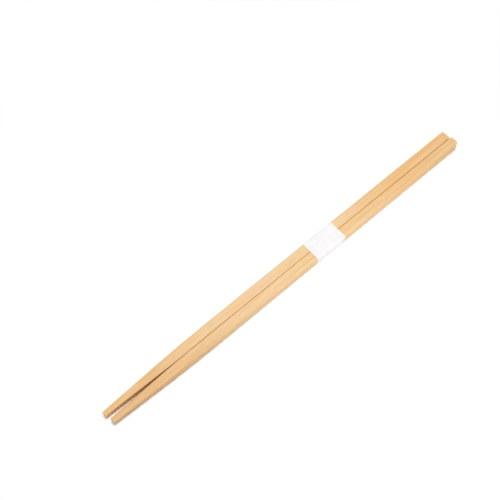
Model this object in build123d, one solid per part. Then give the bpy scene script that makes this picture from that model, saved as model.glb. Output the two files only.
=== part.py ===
from build123d import *
import os

# A pair of bamboo chopsticks lying side by side on a table, held together by a band of white paper.
# Lengths are in millimetres. +X runs along the sticks from the tips to the head ends, +Y points to the
# left stick and +Z is up. The origin is at the middle of the pair's footprint, on the table.

# Stick
STICK_LENGTH = 210.0
STICK_WIDTH = 4.9
STICK_HEIGHT = 5.1
LONG_EDGE_RADIUS = 0.65

# Head: its upright corners, seen from above. The right stick's outer one is rounded off more
HEAD_CORNER_RADIUS = 0.9
RIGHT_OUTER_CORNER_RADIUS = 1.9

# Tip: each taper begins as an arc and runs on straight to the end of the stick. On the side that faces the
# other stick it begins later. A lean moves the tip's middle towards the other stick
TAPER_ARC_LENGTH = 40.0
TAPER_RUN_LENGTH = 22.0
INNER_ARC_LENGTH = 14.0
INNER_RUN_LENGTH = 30.0
TIP_WIDTH = 2.5
TIP_HEIGHT = 2.5
TIP_EDGE_RADIUS = 0.35
LEFT_TIP_LEAN = 0.15
RIGHT_TIP_LEAN = 0.36

# How the two sticks lie together: the right one sits a little nearer the head end
STICK_GAP = 0.05
END_OFFSET = 0.95

# Paper band: a strip wrapped once round the pair, with its ends glued in a lap underneath
PAPER_THICKNESS = 0.1
PAPER_CLEARANCE = 0.02
BAND_WIDTH = 17.5
BAND_TO_HEAD = 76.8
LAP_LENGTH = 7.0
LAP_RAMP_LENGTH = 0.8

# An edge's rounding takes at most one share of the tip, and at most another of the corner it runs round
LARGEST_TIP_SHARE = 0.45
LARGEST_CORNER_SHARE = 0.9

# Sizes and places that follow
LARGEST_TIP_ROUNDING = LARGEST_TIP_SHARE * min(TIP_WIDTH, TIP_HEIGHT)
LARGEST_CORNER_ROUNDING = LARGEST_CORNER_SHARE * min(HEAD_CORNER_RADIUS, RIGHT_OUTER_CORNER_RADIUS)
EDGE_RADIUS = min(LONG_EDGE_RADIUS, LARGEST_TIP_ROUNDING, LARGEST_CORNER_ROUNDING)
TIP_END_X = -(STICK_LENGTH + END_OFFSET) / 2
STICK_MIDDLE_Y = (STICK_GAP + STICK_WIDTH) / 2
STICK_MIDDLE_Z = 2 * PAPER_THICKNESS + PAPER_CLEARANCE + STICK_HEIGHT / 2
BAND_MIDDLE_X = TIP_END_X + STICK_LENGTH - BAND_TO_HEAD - BAND_WIDTH / 2


def taper_side(half_size: float, tip_half_size: float, arc_length: float, run_length: float) -> list[Edge]:
    """One long side of a stick's outline, from the head to the tip: straight, then an arc, then straight.

    The arc leaves the straight side without a kink, and drops by the share of the taper that lets the
    last stretch run on in line with the arc's end.
    """
    drop = (half_size - tip_half_size) * arc_length / (arc_length + 2 * run_length)
    arc_start = (arc_length + run_length, half_size)
    arc_end = (run_length, half_size - drop)
    straight = Line((STICK_LENGTH, half_size), arc_start)
    arc = TangentArc(arc_start, arc_end, tangent=(-1, 0))
    run_out = Line(arc_end, (0, tip_half_size))
    return [straight.edge(), arc.edge(), run_out.edge()]


def outline(upper: list[Edge], lower: list[Edge]) -> Face:
    """A stick seen square to one of its faces, between its upper side and the mirror image of its lower one."""
    mirrored = [mirror(edge, Plane.XZ).edge() for edge in lower]
    head = Line(upper[0] @ 0, mirrored[0] @ 0)
    tip = Line(upper[-1] @ 1, mirrored[-1] @ 1)
    return make_face([*upper, *mirrored, head.edge(), tip.edge()]).face()


def plan_outline(tip_lean: float, outer_corner_radius: float) -> Sketch:
    """A stick seen from above, with its outer side towards +Y and its head's corners rounded."""
    outer = taper_side(STICK_WIDTH / 2, TIP_WIDTH / 2 - tip_lean, TAPER_ARC_LENGTH, TAPER_RUN_LENGTH)
    inner = taper_side(STICK_WIDTH / 2, TIP_WIDTH / 2 + tip_lean, INNER_ARC_LENGTH, INNER_RUN_LENGTH)
    plan = outline(outer, inner)
    plan = fillet(plan.vertices().group_by(Axis.X)[-1].sort_by(Axis.Y)[-1], outer_corner_radius)
    return fillet(plan.vertices().group_by(Axis.X)[-1].sort_by(Axis.Y)[0], HEAD_CORNER_RADIUS)


def bounds_top_or_bottom(edge: Edge) -> bool:
    """True for an edge round the top or the bottom of a stick, and not for those of its tip's end."""
    size = edge.bounding_box().size
    return size.Z < max(size.X, size.Y) and edge.center().X > 0


def stick(tip_lean: float, outer_corner_radius: float) -> Solid:
    """One stick along +X with its tip's end at the origin and its outer side towards +Y.

    The outlines seen from above and from the side cut each other to shape. Then the edges round the top
    and the bottom are rounded, and the tip's end after them.
    """
    side = taper_side(STICK_HEIGHT / 2, TIP_HEIGHT / 2, TAPER_ARC_LENGTH, TAPER_RUN_LENGTH)
    from_above = extrude(plan_outline(tip_lean, outer_corner_radius), STICK_HEIGHT, both=True)
    from_side = extrude(Plane.XZ * outline(side, side), STICK_WIDTH, both=True)
    body = from_above & from_side
    body = fillet(body.edges().filter_by(bounds_top_or_bottom), EDGE_RADIUS)
    tip_face = body.faces().sort_by(Axis.X)[0]
    return fillet(tip_face.edges(), min(TIP_EDGE_RADIUS, EDGE_RADIUS)).solid()


def band_outline(growth: float) -> Sketch:
    """The section of both sticks together, grown outwards by a distance."""
    width = 2 * STICK_WIDTH + STICK_GAP + 2 * growth
    height = STICK_HEIGHT + 2 * growth
    return RectangleRounded(width, height, EDGE_RADIUS + growth)


def paper_band() -> Solid:
    """The wrapped strip: one layer all round, and a second one where its ends overlap underneath.

    The strip's outer end is a square step. The other end of the lap ramps down over the inner end.
    """
    layer = band_outline(PAPER_CLEARANCE + PAPER_THICKNESS) - band_outline(PAPER_CLEARANCE)
    layer_bottom = -STICK_HEIGHT / 2 - PAPER_CLEARANCE - PAPER_THICKNESS
    lap_bottom = layer_bottom - PAPER_THICKNESS
    lap = make_face(
        Polyline(
            (-LAP_LENGTH / 2, layer_bottom),
            (-LAP_LENGTH / 2, lap_bottom),
            (LAP_LENGTH / 2, lap_bottom),
            (LAP_LENGTH / 2 + LAP_RAMP_LENGTH, layer_bottom),
            close=True,
        )
    )
    section = Plane(origin=(BAND_MIDDLE_X, 0, STICK_MIDDLE_Z), x_dir=(0, 1, 0), z_dir=(1, 0, 0))
    return extrude(section * (layer + lap), BAND_WIDTH / 2, both=True).solid()


left = stick(LEFT_TIP_LEAN, HEAD_CORNER_RADIUS)
right = mirror(stick(RIGHT_TIP_LEAN, RIGHT_OUTER_CORNER_RADIUS), Plane.XZ)
nodes = {
    "left_stick": Pos(TIP_END_X, STICK_MIDDLE_Y, STICK_MIDDLE_Z) * left,
    "right_stick": Pos(TIP_END_X + END_OFFSET, -STICK_MIDDLE_Y, STICK_MIDDLE_Z) * right,
    "paper_band": paper_band(),
}

os.makedirs("parts", exist_ok=True)
for name, solid in nodes.items():
    export_step(solid, f"parts/{name}.step")
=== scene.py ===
"""The looks of a pair of bamboo chopsticks held together by a band of white paper.

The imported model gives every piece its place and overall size. Lengths in the classes are millimetres
and are turned to metres where a mesh, a light or the camera is made. +X runs along the sticks from the
tips to the head ends, +Y points to the left stick and +Z is up.
"""

import logging
import math
from collections.abc import Mapping, Sequence
from dataclasses import dataclass, field
from enum import Enum
from typing import Any

import bpy
import numpy as np
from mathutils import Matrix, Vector


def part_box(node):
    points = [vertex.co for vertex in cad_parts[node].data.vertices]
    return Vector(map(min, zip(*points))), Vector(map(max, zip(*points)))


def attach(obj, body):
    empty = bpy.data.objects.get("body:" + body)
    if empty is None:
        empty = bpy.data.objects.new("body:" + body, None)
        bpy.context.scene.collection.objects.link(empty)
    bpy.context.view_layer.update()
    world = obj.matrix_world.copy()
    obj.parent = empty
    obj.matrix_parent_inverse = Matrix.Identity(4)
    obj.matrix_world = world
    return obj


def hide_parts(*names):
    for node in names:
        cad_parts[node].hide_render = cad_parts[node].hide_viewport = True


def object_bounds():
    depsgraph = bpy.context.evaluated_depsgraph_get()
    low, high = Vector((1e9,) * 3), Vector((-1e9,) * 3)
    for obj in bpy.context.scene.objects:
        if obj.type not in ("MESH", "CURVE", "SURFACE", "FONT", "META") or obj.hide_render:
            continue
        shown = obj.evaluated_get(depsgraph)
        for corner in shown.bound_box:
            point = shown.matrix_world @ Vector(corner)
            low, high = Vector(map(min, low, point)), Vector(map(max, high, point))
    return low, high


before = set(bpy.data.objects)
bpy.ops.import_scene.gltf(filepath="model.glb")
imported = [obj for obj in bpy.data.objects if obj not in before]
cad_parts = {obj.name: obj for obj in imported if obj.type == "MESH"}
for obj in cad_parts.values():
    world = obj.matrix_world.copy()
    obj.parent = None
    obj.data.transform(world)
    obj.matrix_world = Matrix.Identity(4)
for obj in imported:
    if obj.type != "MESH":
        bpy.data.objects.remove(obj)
CAD_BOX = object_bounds()

LOG = logging.getLogger("chopsticks")
MM = 0.001
BODY = "root"
BAKE_MAP = "OFBake"
WHITE = "#FFFFFF"

# What a node's input takes: a plain value, or the output socket that feeds it
Feed = bpy.types.NodeSocket | float | Sequence[float]


def linear(colour: str) -> tuple[float, float, float, float]:
    """Turns an sRGB hex colour to linear light.

    Args:
        colour: Six hex digits after a hash sign.

    Returns:
        Red, green, blue and an alpha of 1, each from 0 to 1.
    """
    shares = [int(colour[start : start + 2], 16) / 255 for start in (1, 3, 5)]
    light = [s / 12.92 if s <= 0.04045 else ((s + 0.055) / 1.055) ** 2.4 for s in shares]
    return (light[0], light[1], light[2], 1.0)


def add_node(
    tree: bpy.types.NodeTree, kind: str, inputs: Mapping[str, Feed] | None = None, **settings: Any
) -> bpy.types.Node:
    """Adds one node with its settings and links.

    Args:
        tree: The node tree of a material or of the world.
        kind: Blender's type name of the node.
        inputs: What each input takes, by the input's identifier.
        settings: Values of the node's own attributes.

    Returns:
        The new node.
    """
    node = tree.nodes.new(kind)
    for name, value in settings.items():
        setattr(node, name, value)
    sockets = {socket.identifier: socket for socket in node.inputs}
    for name, value in (inputs or {}).items():
        if isinstance(value, bpy.types.NodeSocket):
            tree.links.new(value, sockets[name])
        else:
            sockets[name].default_value = value
    return node


def empty_material(name: str) -> bpy.types.Material:
    """Makes a material with an empty node tree.

    Args:
        name: What the piece is made of.

    Returns:
        The new material.
    """
    material = bpy.data.materials.new(name)
    material.use_nodes = True
    material.node_tree.nodes.clear()
    return material


def streaked_noise(shape: tuple[int, int], blur: tuple[float, float], seed: int) -> np.ndarray:
    """Smooth random relief on a grid that closes on itself both ways.

    White noise is blurred by a Gaussian: each wave in it is multiplied by exp(-2 (pi f b)^2), where f is
    the wave's count per grid step and b the blur. The result is stretched to fill 0 to 1.

    Args:
        shape: Rows and columns of the grid.
        blur: The Gaussian's standard deviation along rows and columns, in grid steps.
        seed: Seed of the noise.

    Returns:
        The relief, one number for each grid point.
    """
    noise = np.random.default_rng(seed).standard_normal(shape)
    waves = [np.fft.fftfreq(count) * spread for count, spread in zip(shape, blur)]
    fade = np.exp(-2 * np.pi**2 * (waves[0][:, None] ** 2 + waves[1][None, :] ** 2))
    relief = np.fft.ifft2(np.fft.fft2(noise) * fade).real
    return (relief - relief.min()) / np.ptp(relief)


@dataclass(frozen=True)
class RoundedOutline:
    """A rectangle with round corners, walked once round at even steps.

    A point is a place on the core, the rectangle through the corners' centres, plus the radius along
    the outward normal. The walk starts at the core's lower +Y corner and goes along the underside
    towards -Y. Core and normal angle change in turn, each evenly, on the flats and the corners.
    """

    half_width: float
    half_height: float
    radius: float

    def walk(self, distance: np.ndarray) -> tuple[np.ndarray, np.ndarray]:
        """Finds the places on the outline at given distances from its start.

        Args:
            distance: Distances along the outline. Past one turn they go on round.

        Returns:
            Core points as signs from -1 to 1 of the core's half sides, and unit normals, as (n, 2).
        """
        knots = np.concatenate([[0.0], np.cumsum(self._runs())])
        turn = np.array([0, 0, 1, 1, 2, 2, 3, 3, 4]) * -math.pi / 2 - math.pi / 2
        side = np.array([1, -1, -1, -1, -1, 1, 1, 1, 1.0])
        rise = np.array([-1, -1, -1, 1, 1, 1, 1, -1, -1.0])
        here = np.mod(distance, knots[-1])
        core = np.stack([np.interp(here, knots, side), np.interp(here, knots, rise)], -1)
        angle = np.interp(here, knots, turn)
        return core, np.stack([np.cos(angle), np.sin(angle)], -1)

    def length(self) -> float:
        """The distance once round."""
        return float(sum(self._runs()))

    def core_half(self) -> np.ndarray:
        """Half the sides of the core rectangle."""
        return np.array([self.half_width - self.radius, self.half_height - self.radius])

    def _runs(self) -> list[float]:
        """Measures the flats and the corners.

        Returns:
            Their lengths, in walking order.
        """
        wide, high = 2 * self.core_half()
        corner = self.radius * math.pi / 2
        return [wide, corner, high, corner, wide, corner, high, corner]


def grid_quads(rows: int, columns: int) -> np.ndarray:
    """Corner indices of the faces between neighbouring rows of a grid whose columns close on themselves.

    Args:
        rows: Count of rows of points.
        columns: Count of points in each row.

    Returns:
        Four indices for each face, as (faces, 4). Rows run along +X and columns as RoundedOutline walks,
        and then the faces point outwards.
    """
    row, column = np.meshgrid(np.arange(rows - 1), np.arange(columns), indexing="ij")
    beside = (column + 1) % columns
    corners = [row * columns + column, (row + 1) * columns + column]
    corners += [(row + 1) * columns + beside, row * columns + beside]
    return np.stack(corners, -1).reshape(-1, 4)


def mesh_piece(name: str, points: np.ndarray, faces: list[list[int]]) -> bpy.types.Object:
    """Makes a smooth-shaded object at the origin, with its place in its mesh.

    Args:
        name: The piece's name.
        points: Vertices in millimetres, as (n, 3).
        faces: Vertex indices of each face.

    Returns:
        The object, in the scene.
    """
    mesh = bpy.data.meshes.new(name)
    mesh.from_pydata((points * MM).tolist(), [], faces)
    mesh.polygons.foreach_set("use_smooth", np.ones(len(faces), dtype=bool))
    mesh.update()
    piece = bpy.data.objects.new(name, mesh)
    bpy.context.scene.collection.objects.link(piece)
    return piece


class Figure(Enum):
    """The kind of mark that a layer of a pattern is made of, by the texture that draws it."""

    STREAKS = "ShaderNodeTexNoise"
    STRANDS = "ShaderNodeTexVoronoi"


@dataclass(frozen=True)
class Layer:
    """One layer of a pattern, with the size of its marks in millimetres.

    The tint comes in as the texture's value goes from start to full, up to its share there. Depth is how
    far the surface is carved where the tint is fullest, in millimetres.
    """

    tint: str
    figure: Figure
    length: float
    width: float
    start: float
    full: float
    share: float
    depth: float = 0.0
    detail: float = 2.0

    def scale(self) -> tuple[float, float, float]:
        """Marks in a metre along X, Y and Z."""
        return (1 / (self.length * MM), 1 / (self.width * MM), 1 / (self.width * MM))


@dataclass(frozen=True)
class BambooFinish:
    """Bamboo culm wood, split, planed square and sanded, with no varnish.

    To the eye it is pale straw with soft golden and rosy streaks along the fibre and short flecks between
    them, a little deeper towards both ends of a stick. Fibre strands show as fine darker lines on the long
    faces and as dots on the cut ends, and the sanded surface has a dull sheen. Shift moves the marks, so
    that no two sticks are alike. The stops pale_from, pale_to and the like are shares of the pair's length.
    """

    name: str
    shift: tuple[float, float, float]
    straw: str
    deepening: str
    pale_from: float
    head_share: float
    pale_to: float = 0.60
    tip_full: float = 0.10
    head_full: float = 0.84
    ior: float = 1.5
    smooth_roughness: float = 0.60
    open_roughness: float = 0.75
    grain_turn: float = 0.004
    layers: tuple[Layer, ...] = (
        # Broad streaks: golden, rosy and pale
        Layer("#EEBA74", Figure.STREAKS, length=42.0, width=1.9, start=0.40, full=0.66, share=0.52),
        Layer("#F2C8AA", Figure.STREAKS, length=30.0, width=1.3, start=0.48, full=0.68, share=0.52),
        Layer("#F5DCB0", Figure.STREAKS, length=40.0, width=0.9, start=0.50, full=0.70, share=0.40),
        # Short flecks, and fine lines along the fibre
        Layer("#D6A264", Figure.STREAKS, 3.6, 0.42, start=0.50, full=0.74, share=0.28, depth=0.005),
        Layer("#D19C5A", Figure.STREAKS, 22.0, 0.32, 0.50, 0.74, share=0.36, depth=0.012, detail=3.0),
        # Fibre strands, and the short open pores in them
        Layer("#C48C4C", Figure.STRANDS, 120.0, 0.72, 0.30, 0.08, share=0.32, depth=0.010, detail=0.0),
        Layer("#A2723D", Figure.STRANDS, 9.0, 0.50, 0.13, 0.05, share=0.26, depth=0.020, detail=0.0),
    )

    def material(self) -> bpy.types.Material:
        """Builds the finish: straw tinted layer by layer, with the layers' depths as relief.

        Returns:
            The material, on Object coordinates.
        """
        material = empty_material(self.name)
        tree = material.node_tree
        place = add_node(tree, "ShaderNodeTexCoord").outputs["Object"]
        colour: Feed = linear(self.straw)
        carved: Feed = 0.0
        for number, layer in enumerate(self.layers, start=1):
            share = self._marks(tree, place, layer, number)
            colour = self._tinted(tree, colour, layer.tint, share)
            if layer.depth:
                carved = add_node(
                    tree,
                    "ShaderNodeMath",
                    {"Value": share, "Value_001": -layer.depth / layer.share, "Value_002": carved},
                    operation="MULTIPLY_ADD",
                ).outputs["Value"]
        share = self._length_share(tree, place)
        colour = self._tinted(tree, colour, self.deepening, share, "MULTIPLY")
        self._surface(tree, colour, carved)
        return material

    def _marks(
        self, tree: bpy.types.NodeTree, place: bpy.types.NodeSocket, layer: Layer, number: int
    ) -> bpy.types.NodeSocket:
        """Draws the marks of one layer.

        Args:
            tree: The material's nodes.
            place: The socket of the Object coordinates.
            layer: The layer.
            number: Its number, which sets its marks apart from those of the other layers.

        Returns:
            The socket that gives the share of the layer's tint.
        """
        spot = add_node(
            tree,
            "ShaderNodeMapping",
            {
                "Vector": place,
                "Location": [step * number for step in self.shift],
                "Rotation": (0.0, 0.0, self.grain_turn),
                "Scale": layer.scale(),
            },
        )
        texture = add_node(
            tree,
            layer.figure.value,
            {"Vector": spot.outputs["Vector"], "Scale": 1.0, "Detail": layer.detail},
        )
        share = add_node(
            tree,
            "ShaderNodeMapRange",
            {
                "Value": texture.outputs[0],
                "From Min": layer.start,
                "From Max": layer.full,
                "To Max": layer.share,
            },
            interpolation_type="SMOOTHSTEP",
        )
        return share.outputs["Result"]

    def _tinted(
        self,
        tree: bpy.types.NodeTree,
        colour: Feed,
        tint: str,
        share: bpy.types.NodeSocket,
        blend: str = "MIX",
    ) -> bpy.types.NodeSocket:
        """Brings a tint into a colour.

        Args:
            tree: The material's nodes.
            colour: The colour so far.
            tint: The tint, as an sRGB hex colour.
            share: The socket that gives the tint's share.
            blend: How the tint comes in: MIX covers the colour, MULTIPLY filters it.

        Returns:
            The new colour's socket.
        """
        mix = add_node(
            tree,
            "ShaderNodeMix",
            {"Factor_Float": share, "A_Color": colour, "B_Color": linear(tint)},
            data_type="RGBA",
            blend_type=blend,
        )
        return mix.outputs[2]

    def _length_share(
        self, tree: bpy.types.NodeTree, place: bpy.types.NodeSocket
    ) -> bpy.types.NodeSocket:
        """The share of the deeper tint along the stick: full at the tip and the head, none between them.

        Args:
            tree: The material's nodes.
            place: The socket of the Object coordinates.

        Returns:
            The share's socket.
        """
        along = add_node(tree, "ShaderNodeSeparateXYZ", {"Vector": place}).outputs["X"]
        low, high = (corner.x for corner in CAD_BOX)
        span = add_node(
            tree, "ShaderNodeMapRange", {"Value": along, "From Min": low, "From Max": high}
        )
        ramp = add_node(tree, "ShaderNodeValToRGB", {"Fac": span.outputs["Result"]})
        ramp.color_ramp.interpolation = "EASE"
        stops = {self.tip_full: 1.0, self.pale_from: 0.0, self.pale_to: 0.0}
        stops[self.head_full] = self.head_share
        while len(ramp.color_ramp.elements) < len(stops):
            ramp.color_ramp.elements.new(1.0)
        for element, (position, share) in zip(ramp.color_ramp.elements, stops.items()):
            element.position = position
            element.color = (share, share, share, 1.0)
        return ramp.outputs["Color"]

    def _surface(self, tree: bpy.types.NodeTree, colour: Feed, carved: Feed) -> None:
        """Adds the shader, whose roughness follows the relief: the deeper carved, the rougher.

        Args:
            tree: The material's nodes.
            colour: The finished colour.
            carved: The height of the relief in millimetres, 0 where nothing is carved.
        """
        deepest = sum(layer.depth for layer in self.layers)
        roughness = add_node(
            tree,
            "ShaderNodeMapRange",
            {
                "Value": carved,
                "From Min": -deepest / 2,
                "From Max": 0.0,
                "To Min": self.open_roughness,
                "To Max": self.smooth_roughness,
            },
        )
        relief = add_node(tree, "ShaderNodeBump", {"Height": carved, "Distance": MM, "Strength": 1.0})
        shader = add_node(
            tree,
            "ShaderNodeBsdfPrincipled",
            {
                "Base Color": colour,
                "Roughness": roughness.outputs["Result"],
                "IOR": self.ior,
                "Normal": relief.outputs["Normal"],
            },
        )
        add_node(tree, "ShaderNodeOutputMaterial", {"Surface": shader.outputs["BSDF"]})


@dataclass(frozen=True)
class PaperFinish:
    """Plain white uncoated paper.

    To the eye it is matte and almost even, with a faint cloudiness where its fibres lie closer and a fine
    tooth that only a raking light shows.
    """

    name: str = "uncoated white paper"
    bright: str = "#F8F6F6"
    cloudy: str = "#F3F1F1"
    ior: float = 1.5
    roughness: float = 0.85
    cloud_size: float = 2.6
    cloud_detail: float = 4.0
    cloud_sharpness: float = 0.6
    cloud_start: float = 0.35
    cloud_full: float = 0.70
    tooth_size: float = 0.12
    tooth_detail: float = 2.0
    tooth_depth: float = 0.004

    def material(self) -> bpy.types.Material:
        """Builds the finish: two whites in soft clouds, and the tooth as relief.

        Returns:
            The material, on Object coordinates.
        """
        material = empty_material(self.name)
        tree = material.node_tree
        place = add_node(tree, "ShaderNodeTexCoord").outputs["Object"]
        cloud = add_node(
            tree,
            "ShaderNodeTexNoise",
            {
                "Vector": place,
                "Scale": 1 / (self.cloud_size * MM),
                "Detail": self.cloud_detail,
                "Roughness": self.cloud_sharpness,
            },
        )
        tone = add_node(
            tree,
            "ShaderNodeMapRange",
            {
                "Value": cloud.outputs[0],
                "From Min": self.cloud_start,
                "From Max": self.cloud_full,
            },
            interpolation_type="SMOOTHSTEP",
        )
        colour = add_node(
            tree,
            "ShaderNodeMix",
            {
                "Factor_Float": tone.outputs["Result"],
                "A_Color": linear(self.bright),
                "B_Color": linear(self.cloudy),
            },
            data_type="RGBA",
        )
        tooth = add_node(
            tree,
            "ShaderNodeTexNoise",
            {"Vector": place, "Scale": 1 / (self.tooth_size * MM), "Detail": self.tooth_detail},
        )
        relief = add_node(
            tree,
            "ShaderNodeBump",
            {"Height": tooth.outputs[0], "Distance": self.tooth_depth * MM, "Strength": 1.0},
        )
        shader = add_node(
            tree,
            "ShaderNodeBsdfPrincipled",
            {
                "Base Color": colour.outputs[2],
                "Roughness": self.roughness,
                "IOR": self.ior,
                "Normal": relief.outputs["Normal"],
            },
        )
        add_node(tree, "ShaderNodeOutputMaterial", {"Surface": shader.outputs["BSDF"]})
        return material


class Side(Enum):
    """Which stick of the pair. The value is the sign of its Y."""

    LEFT = 1
    RIGHT = -1


@dataclass(frozen=True)
class Taper:
    """How a face of a stick comes in towards the tip: along an arc, then straight. In millimetres."""

    arc_length: float
    run_length: float

    def drop(self, along: np.ndarray, taper: float) -> np.ndarray:
        """How far the face has come in at a distance from the tip.

        The arc leaves the straight stick without a kink: radius minus the root of radius squared less
        distance squared. Then comes a straight run on in line with the arc's end.

        Args:
            along: Distances from the tip's end.
            taper: The whole drop at the tip's end.

        Returns:
            The drop at each distance.
        """
        start = self.arc_length + self.run_length
        arc_drop = taper * self.arc_length / (start + self.run_length)
        radius = (self.arc_length**2 + arc_drop**2) / (2 * arc_drop)
        into_arc = np.clip(start - along, 0, self.arc_length)
        into_run = np.clip(1 - along / self.run_length, 0, None)
        return radius - np.sqrt(radius**2 - into_arc**2) + (taper - arc_drop) * into_run


def rounding(distance: np.ndarray, radius: float) -> np.ndarray:
    """How far a round edge draws a face in: radius less the root of radius squared less reach squared.

    Args:
        distance: Distances from the end that the edge belongs to.
        radius: The edge's radius. The reach is what the distance lacks of it.

    Returns:
        What the face is drawn in at each distance.
    """
    reach = np.clip(radius - distance, 0, radius)
    return radius - np.sqrt(radius**2 - reach**2)


@dataclass(frozen=True)
class Chopstick:
    """One stick: a rounded square section that tapers to a small tip, with rounded ends.

    The overall size and place come from the frame. The inner side faces the other stick, and a lean moves
    the tip's middle towards it. Lengths are in millimetres.
    """

    node: str
    side: Side
    finish: BambooFinish
    seed: int
    tip_lean: float
    outer_corner_radius: float
    inner_corner_radius: float = 0.9
    edge_radius: float = 0.65
    tip_edge_radius: float = 0.35
    least_edge_radius: float = 0.05
    outer_taper: Taper = Taper(40.0, 22.0)
    inner_taper: Taper = Taper(14.0, 30.0)
    tip_width: float = 2.5
    tip_height: float = 2.5
    fibre_depth: float = 0.022
    fibre_length: float = 6.0
    fibre_width: float = 0.16
    plane_depth: float = 0.03
    plane_length: float = 22.0
    plane_width: float = 1.4
    around: int = 160
    body_rows: int = 418
    rounding_rows: int = 9
    cap_rings: int = 7
    map_strips: int = 2
    map_margin: float = 0.01

    def build(self) -> bpy.types.Object:
        """Makes the stick's mesh as rings along its length, closed by a fan at each end.

        Returns:
            The stick, at its place in the frame.
        """
        points, rings = self._points()
        faces = self._faces(rings)
        stick = mesh_piece(self.node + "_bamboo", points, faces)
        layer = stick.data.uv_layers.new(name=BAKE_MAP)
        layer.uv.foreach_set("vector", self._map(rings).astype(np.float32).ravel())
        return stick

    def dress(self, stick: bpy.types.Object) -> None:
        """Gives the stick its finish and lets it stand for its solid.

        Args:
            stick: The object that build made.
        """
        stick.data.materials.append(self.finish.material())
        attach(stick, BODY)
        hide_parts(self.node)

    def _rows(self, length: float) -> tuple[np.ndarray, np.ndarray]:
        """Where the rings lie: distance from the tip's end, and size, which is less than 1 only on a cap.

        Rings crowd towards each end as a quarter circle does: radius (1 - sin t) for even steps of t.

        Args:
            length: The stick's length.

        Returns:
            Two arrays, one number for each ring from tip to head.
        """
        turn = np.linspace(math.pi / 2, 0, self.rounding_rows)
        cap = np.linspace(0, 1, self.cap_rings + 1)[1:-1]
        head_reach = max(self.outer_corner_radius, self.inner_corner_radius)
        from_tip = self.tip_edge_radius * (1 - np.sin(turn))
        from_head = head_reach * (1 - np.sin(turn[::-1]))
        body = np.linspace(self.tip_edge_radius, length - head_reach, self.body_rows)[1:-1]
        along = [0 * cap, from_tip, body, length - from_head, 0 * cap + length]
        size = [cap, np.ones(len(turn) * 2 + len(body)), cap[::-1]]
        return np.concatenate(along), np.concatenate(size)

    def _points(self) -> tuple[np.ndarray, int]:
        """Works out every vertex.

        A ring is the section's core plus its radius along the normal, where the radius is less by the
        carved relief. The inner side, which lies against the other stick, has none. Tapers and round ends
        draw each face in by itself, and the long edges get sharper with them. The two last points are the
        middles of the caps.

        Returns:
            The vertices in millimetres, and the count of rings.
        """
        low, high = (np.array(corner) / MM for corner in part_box(self.node))
        length, width, height = high - low
        middle = (low + high) / 2
        along, size = self._rows(length)
        outer, inner, tall = self._reach(along, high - low)
        outline = RoundedOutline(width / 2, height / 2, self.edge_radius)
        core, normal = outline.walk(np.arange(self.around) / self.around * outline.length())
        drawn_in = rounding(along, self.tip_edge_radius) + rounding(length - along, self.edge_radius)
        corner = np.maximum(self.edge_radius - drawn_in, self.least_edge_radius)
        exposed = 1 - np.clip(-self.side.value * normal[:, 0], 0, 1)
        radius = corner[:, None] - exposed * self._relief(along, outline, size)
        across = ((outer + inner) / 2 - corner)[:, None] * core[:, 0] + radius * normal[:, 0]
        up = (tall - corner)[:, None] * core[:, 1] + radius * normal[:, 1]
        line = middle[1] + self.side.value * (outer - inner) / 2
        grid = np.stack(
            [
                np.broadcast_to((low[0] + along)[:, None], across.shape),
                line[:, None] + size[:, None] * across,
                middle[2] + size[:, None] * up,
            ],
            -1,
        )
        poles = [[low[0], line[0], middle[2]], [high[0], line[-1], middle[2]]]
        return np.concatenate([grid.reshape(-1, 3), poles]), len(along)

    def _reach(
        self, along: np.ndarray, box: np.ndarray
    ) -> tuple[np.ndarray, np.ndarray, np.ndarray]:
        """How far each ring reaches from the middle of the stick's box: outwards, inwards and up.

        It is half the box less the taper's drop and less what the round ends draw in.

        Args:
            along: Each ring's distance from the tip's end.
            box: The stick's length, width and height.

        Returns:
            Three arrays, one number for each ring.
        """
        length, width, height = box
        at_tip = rounding(along, self.tip_edge_radius)
        sides = (
            (width, self.tip_width / 2 - self.tip_lean, self.outer_taper, self.outer_corner_radius),
            (width, self.tip_width / 2 + self.tip_lean, self.inner_taper, self.inner_corner_radius),
            (height, self.tip_height / 2, self.outer_taper, self.edge_radius),
        )
        outer, inner, tall = (
            full / 2 - taper.drop(along, full / 2 - tip) - at_tip - rounding(length - along, corner)
            for full, tip, taper, corner in sides
        )
        return outer, inner, tall

    def _relief(self, along: np.ndarray, outline: RoundedOutline, size: np.ndarray) -> np.ndarray:
        """How far the surface is carved at each point of the grid, in millimetres.

        The relief is fine furrows along the fibre plus the slow waves that planing and sanding leave.
        Both are streaked noise, and they fade out on the caps.

        Args:
            along: Each ring's distance from the tip's end.
            outline: The section's outline.
            size: Each ring's size on its cap.

        Returns:
            Depths of at least 0, as (rings, around).
        """
        shape = (len(along), self.around)
        row_step = np.ptp(along) / len(along)
        column_step = outline.length() / self.around
        fibre = streaked_noise(
            shape, (self.fibre_length / row_step, self.fibre_width / column_step), self.seed
        )
        plane = streaked_noise(
            shape, (self.plane_length / row_step, self.plane_width / column_step), self.seed + 1
        )
        carved = self.fibre_depth * fibre + self.plane_depth * plane
        return (carved - carved.min()) * (size == 1)[:, None]

    def _faces(self, rings: int) -> list[list[int]]:
        """Quads between the rings, and a fan of triangles on each cap.

        Args:
            rings: The count of rings.

        Returns:
            Vertex indices of each face: the tip's fan, the quads and the head's fan.
        """
        here = np.arange(self.around)
        beside = (here + 1) % self.around
        last = (rings - 1) * self.around
        tip_pole, head_pole = rings * self.around, rings * self.around + 1
        tip_fan = np.stack([np.full_like(here, tip_pole), here, beside], -1)
        head_fan = np.stack([np.full_like(here, head_pole), last + beside, last + here], -1)
        quads = grid_quads(rings, self.around)
        return tip_fan.tolist() + quads.tolist() + head_fan.tolist()

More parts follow.
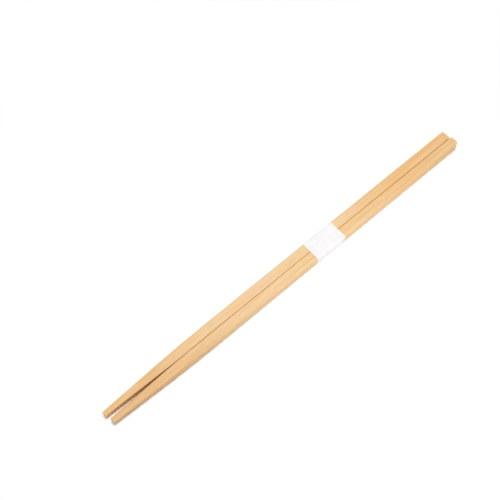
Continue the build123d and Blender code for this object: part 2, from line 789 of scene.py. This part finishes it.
    def _map(self, rings: int) -> np.ndarray:
        """The flat map of the faces: the length in strips of equal counts of rings, one above the other.

        A face's corners are counted from the ring that it starts at: 0 or 1 ring on, and so many points
        round. The middle of a cap lies half a point round.

        Args:
            rings: The count of rings.

        Returns:
            One point of the unit square for each face corner, in the order of the faces.
        """
        here = np.arange(self.around)
        runs = rings + 1
        row, column = np.meshgrid(np.arange(1, rings), here, indexing="ij")
        tip_fan = np.stack([[0, 1, 1] + 0 * here[:, None], here[:, None] + [0.5, 0, 1]], -1)
        head_fan = np.stack([[1, 0, 0] + 0 * here[:, None], here[:, None] + [0.5, 1, 0]], -1)
        quads = np.stack([[0, 1, 1, 0] + 0 * row[..., None], column[..., None] + [0, 0, 1, 1]], -1)
        starts = [np.zeros(self.around), row.ravel(), np.full(self.around, rings)]
        places = []
        for start, corners in zip(starts, (tip_fan, quads.reshape(-1, 4, 2), head_fan)):
            strip = start * self.map_strips // runs
            along = (start[:, None] + corners[..., 0]) * self.map_strips / runs - strip[:, None]
            turn = self.map_margin + (1 - 2 * self.map_margin) * corners[..., 1] / self.around
            up = (strip[:, None] + turn) / self.map_strips
            places.append(np.stack([along, up], -1).reshape(-1, 2))
        return np.clip(np.concatenate(places), 0, 1)


@dataclass(frozen=True)
class PaperBand:
    """A strip of paper wound once round both sticks, with its ends glued in a lap underneath.

    The inner end lies under the +Y stick. The strip goes along the underside, up the right side, over the
    top and down the left side, and its outer end runs on below the first layer. Lengths in millimetres.
    """

    node: str = "paper_band"
    finish: PaperFinish = field(default_factory=PaperFinish)
    thickness: float = 0.1
    clearance: float = 0.02
    lap_length: float = 7.0
    lap_ramp: float = 0.8
    corner_radius: float = 0.65
    edge_radius: float = 0.03
    edge_lift: float = 0.1
    edge_reach: float = 1.2
    side_lift_share: float = 0.5
    lift_blur: tuple[float, float] = (18.0, 3.0)
    groove_sag: float = 0.035
    groove_reach: float = 0.55
    rows: int = 420
    columns: int = 64
    rim_points: int = 4
    seed: int = 31

    def build(self) -> bpy.types.Object:
        """Makes the strip: its flat section is carried along the path round the sticks.

        Returns:
            The band, at its place in the frame.
        """
        low, high = (np.array(corner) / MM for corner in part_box(self.node))
        width = high[0] - low[0]
        middle_x = (low[0] + high[0]) / 2
        outline = self._sticks_outline(low, high)
        distance = np.linspace(0, outline.length() + self.lap_length, self.rows)
        place, normal = self._path(outline, distance, low, high)
        across, through = self._strip_section(width)
        lift = self._lift(across, width, place, normal)
        offset = self._layer_offset(distance, outline)[:, None] + through + lift
        grid = np.stack(
            [
                np.broadcast_to(middle_x + across, offset.shape),
                place[:, :1] + normal[:, :1] * offset,
                place[:, 1:] + normal[:, 1:] * offset,
            ],
            -1,
        )
        columns = len(across)
        faces = grid_quads(self.rows, columns).tolist()
        last = (self.rows - 1) * columns
        faces += [list(range(columns)), list(range(last, last + columns))[::-1]]
        return mesh_piece("paper_band_strip", grid.reshape(-1, 3), faces)

    def dress(self, band: bpy.types.Object) -> None:
        """Gives the band its finish and lets it stand for its solid; its flat size is measured but not
        kept.

        Args:
            band: The object that build made.
        """
        band.data.materials.append(self.finish.material())
        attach(band, BODY)
        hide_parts(self.node)
        self.flat_size()

    def flat_size(self) -> tuple[float, float]:
        """Measures the strip as it was before it was wound.

        Returns:
            Its width and its length, in metres.
        """
        low, high = (np.array(corner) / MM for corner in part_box(self.node))
        outline = self._sticks_outline(low, high)
        return ((high[0] - low[0]) * MM, (outline.length() + self.lap_length) * MM)

    def _sticks_outline(self, low: np.ndarray, high: np.ndarray) -> RoundedOutline:
        """The outline of both sticks together, which follows from the band's box.

        Args:
            low: The band's lowest corner.
            high: The band's highest corner.

        Returns:
            The outline, about the middle of the first layer.
        """
        growth = self.clearance + self.thickness
        half_width = (high[1] - low[1]) / 2 - growth
        half_height = (high[2] - low[2] - self.thickness) / 2 - growth
        return RoundedOutline(half_width, half_height, self.corner_radius)

    def _path(
        self, outline: RoundedOutline, distance: np.ndarray, low: np.ndarray, high: np.ndarray
    ) -> tuple[np.ndarray, np.ndarray]:
        """The line that the strip follows on the sticks.

        Args:
            outline: The outline of both sticks.
            distance: Distances from the strip's inner end.
            low: The band's lowest corner.
            high: The band's highest corner.

        Returns:
            Points (y, z) on the sticks' outline, and the outward normals there.
        """
        inner_end = outline.core_half()[0] - self.lap_length / 2
        core, normal = outline.walk(distance + inner_end)
        middle = np.array([(low[1] + high[1]) / 2, (low[2] + self.thickness + high[2]) / 2])
        return middle + core * outline.core_half() + normal * outline.radius, normal

    def _layer_offset(self, distance: np.ndarray, outline: RoundedOutline) -> np.ndarray:
        """The strip's middle above the sticks, one thickness more past the ramp over its inner end."""
        ramp = np.clip((distance - outline.length() + self.lap_ramp) / self.lap_ramp, 0, 1)
        return self.clearance + self.thickness / 2 + self.thickness * ramp

    def _strip_section(self, width: float) -> tuple[np.ndarray, np.ndarray]:
        """The strip's own section, walked once round: where across its width, and how far through it.

        Args:
            width: The strip's width.

        Returns:
            Offsets across and through the paper.
        """
        half = self.thickness / 2
        turns = np.linspace(0, math.pi / 2, self.rim_points)
        run = np.linspace(1, -1, self.columns)[1:-1] * (width / 2 - self.edge_radius)
        bend = self.edge_radius * np.sin(turns)
        side = width / 2 - self.edge_radius
        rim = side + self.edge_radius * np.cos(turns)
        height = half - self.edge_radius + bend
        across = np.concatenate([rim, run, -rim[::-1], -rim, -run, rim[::-1]])
        outer = np.concatenate([height, np.full_like(run, half), height[::-1]])
        return across, np.concatenate([outer, -outer])

    def _lift(
        self, across: np.ndarray, width: float, place: np.ndarray, normal: np.ndarray
    ) -> np.ndarray:
        """How the paper departs from a tight fit: it lifts at its cut edges and dips over the groove.

        The lift is noise along the strip times how near the edge lies, squared: all of it on the top, a
        share on the sides and none underneath. The dip is a bell curve across the groove between the
        sticks, on the top.

        Args:
            across: Places across the strip.
            width: The strip's width.
            place: The path's points (y, z). The groove lies at a y of 0.
            normal: The path's normals.

        Returns:
            Distances outwards, as (rows, columns).
        """
        near_edge = np.clip(1 - (width / 2 - np.abs(across)) / self.edge_reach, 0, 1) ** 2
        wave = streaked_noise((len(place), len(across)), self.lift_blur, self.seed)
        free = np.clip(normal[:, 1] + self.side_lift_share, 0, 1)[:, None]
        bell = np.exp(-((place[:, 0] / self.groove_reach) ** 2))
        on_top = np.clip(normal[:, 1], 0, 1)
        return self.edge_lift * wave * near_edge * free - (self.groove_sag * bell * on_top)[:, None]


@dataclass(frozen=True)
class Lamp:
    """A round soft box that faces a place on the pair's middle line, its aim.

    Level is its light on a surface at the aim that faces it. Lengths in millimetres, angles in degrees.
    """

    name: str
    level: float
    diameter: float
    distance: float
    bearing: float
    height: float
    aim: float = 0.0

    def power(self) -> float:
        """Its watts: level times pi squared, times the squared way in metres from the aim to its rim."""
        return self.level * math.pi**2 * ((self.diameter / 2) ** 2 + self.distance**2) * MM**2


@dataclass(frozen=True)
class Studio:
    """A wide white floor under soft light, and the camera. Lengths in millimetres, angles in degrees.

    Light from all round, a broad soft box overhead and a small one beside the right stick add up to a level
    at which a colour that lies flat renders as written.
    """

    floor_size: float = 4000.0
    floor_colour: str = "#F9F9F9"
    floor_gain: float = 1.12
    plain_from: float = 112.0
    plain_to: float = 170.0
    sky_level: float = 0.28
    lamps: tuple[Lamp, ...] = (
        Lamp("overhead soft box", 0.68, diameter=460.0, distance=1000.0, bearing=90.0, height=90.0),
        Lamp("side soft box", 0.28, diameter=80.0, distance=140.0, bearing=-90.0, height=16.0, aim=40.0),
    )
    camera_bearing: float = 48.461
    camera_height: float = 63.276
    camera_distance: float = 380.29
    camera_target: tuple[float, float, float] = (-7.958, 20.725, 0.0)
    lens: float = 59.181

    def build(self) -> None:
        """Makes the floor, the light and the camera."""
        self._floor()
        self._sky()
        for lamp in self.lamps:
            self._lamp(lamp)
        self._camera()
        bpy.context.scene.view_settings.view_transform = "Standard"

    def _direction(self, bearing: float, height: float) -> Vector:
        """The unit vector at a bearing from +X towards +Y and a height above the floor."""
        turn, rise = math.radians(bearing), math.radians(height)
        return Vector(
            (math.cos(rise) * math.cos(turn), math.cos(rise) * math.sin(turn), math.sin(rise))
        )

    def _floor(self) -> None:
        """Lays the floor, a plain flat sheet."""
        half = self.floor_size / 2
        corners = np.array([[-half, -half, 0], [half, -half, 0], [half, half, 0], [-half, half, 0]])
        floor = mesh_piece("floor", corners, [[0, 1, 2, 3]])
        floor.data.materials.append(self._floor_finish())

    def _floor_finish(self) -> bpy.types.Material:
        """Matte white.

        The camera sees it brighter by a factor, so that it reads as white, and well away from the pair as
        an even white that meets the surround.

        Returns:
            The material, on Object coordinates.
        """
        material = empty_material("white studio floor")
        tree = material.node_tree
        plain = linear(self.floor_colour)
        seen = self._seen_directly(tree)
        tone = add_node(
            tree,
            "ShaderNodeMix",
            {
                "Factor_Float": seen,
                "A_Color": plain,
                "B_Color": [self.floor_gain * share for share in plain],
            },
            data_type="RGBA",
        )
        matte = add_node(tree, "ShaderNodeBsdfDiffuse", {"Color": tone.outputs[2]})
        even = add_node(tree, "ShaderNodeEmission", {"Color": linear(WHITE), "Strength": 1.0})
        place = add_node(tree, "ShaderNodeTexCoord").outputs["Object"]
        away = add_node(tree, "ShaderNodeVectorMath", {"Vector": place}, operation="LENGTH")
        share = add_node(
            tree,
            "ShaderNodeMapRange",
            {
                "Value": away.outputs["Value"],
                "From Min": self.plain_from * MM,
                "From Max": self.plain_to * MM,
                "To Max": seen,
            },
            interpolation_type="SMOOTHSTEP",
        )
        both = add_node(
            tree,
            "ShaderNodeMixShader",
            {
                "Fac": share.outputs["Result"],
                "Shader": matte.outputs["BSDF"],
                "Shader_001": even.outputs["Emission"],
            },
        )
        add_node(tree, "ShaderNodeOutputMaterial", {"Surface": both.outputs["Shader"]})
        return material

    def _seen_directly(self, tree: bpy.types.NodeTree) -> bpy.types.NodeSocket:
        """A socket that is 1 for the camera's rays, by gloss and glass too, and 0 for scattered light.

        Args:
            tree: The nodes of the floor or of the world.

        Returns:
            The socket.
        """
        path = add_node(tree, "ShaderNodeLightPath")
        seen = path.outputs["Is Camera Ray"]
        for way in ("Is Glossy Ray", "Is Transmission Ray"):
            seen = add_node(
                tree,
                "ShaderNodeMath",
                {"Value": seen, "Value_001": path.outputs[way]},
                operation="MAXIMUM",
            ).outputs["Value"]
        return seen

    def _sky(self) -> None:
        """Even white light from all round, which the camera sees as plain white."""
        world = bpy.data.worlds.new("soft white surround")
        world.use_nodes = True
        tree = world.node_tree
        tree.nodes.clear()
        level = add_node(
            tree,
            "ShaderNodeMapRange",
            {"Value": self._seen_directly(tree), "To Min": self.sky_level, "To Max": 1.0},
        )
        light = add_node(
            tree,
            "ShaderNodeBackground",
            {"Color": linear(WHITE), "Strength": level.outputs["Result"]},
        )
        add_node(tree, "ShaderNodeOutputWorld", {"Surface": light.outputs["Background"]})
        bpy.context.scene.world = world

    def _lamp(self, lamp: Lamp) -> None:
        """Hangs one lamp, out of the camera's sight.

        Args:
            lamp: The lamp.
        """
        light = bpy.data.lights.new(lamp.name, "AREA")
        light.shape = "DISK"
        light.size = lamp.diameter * MM
        light.energy = lamp.power()
        towards = self._direction(lamp.bearing, lamp.height)
        hung = bpy.data.objects.new(lamp.name, light)
        hung.location = (Vector((lamp.aim, 0, 0)) + towards * lamp.distance) * MM
        hung.rotation_mode = "QUATERNION"
        hung.rotation_quaternion = towards.to_track_quat("Z", "Y")
        hung.visible_camera = False
        bpy.context.scene.collection.objects.link(hung)

    def _camera(self) -> None:
        """The camera, from the tip end and the right stick's side, looking down."""
        data = bpy.data.cameras.new("camera")
        data.lens = self.lens
        camera = bpy.data.objects.new("camera", data)
        towards = self._direction(self.camera_bearing + 180, self.camera_height)
        target = Vector(self.camera_target) * MM
        camera.location = target + towards * self.camera_distance * MM
        camera.rotation_mode = "QUATERNION"
        camera.rotation_quaternion = towards.to_track_quat("Z", "Y")
        bpy.context.scene.collection.objects.link(camera)
        bpy.context.scene.camera = camera


def main() -> None:
    """Builds the sticks, the band and the studio in turn and reports each piece."""
    logging.basicConfig(level=logging.INFO, format="%(name)s: %(message)s")
    pale = BambooFinish(
        "sanded bamboo, pale stick",
        (3.1, 17.3, 5.9),
        straw="#EECD9A",
        deepening="#FBF0DC",
        pale_from=0.30,
        head_share=0.95,
    )
    golden = BambooFinish(
        "sanded bamboo, golden stick",
        (7.7, 41.9, 23.3),
        straw="#EEC993",
        deepening="#F8EFE3",
        pale_from=0.37,
        head_share=0.6,
    )
    sticks = [
        Chopstick("left_stick", Side.LEFT, pale, seed=11, tip_lean=0.15, outer_corner_radius=0.9),
        Chopstick("right_stick", Side.RIGHT, golden, seed=23, tip_lean=0.36, outer_corner_radius=1.9),
    ]
    for part in [*sticks, PaperBand()]:
        piece = part.build()
        part.dress(piece)
        LOG.info("%s stands for %s with %d faces", piece.name, part.node, len(piece.data.polygons))
    Studio().build()


if __name__ == "__main__":
    main()
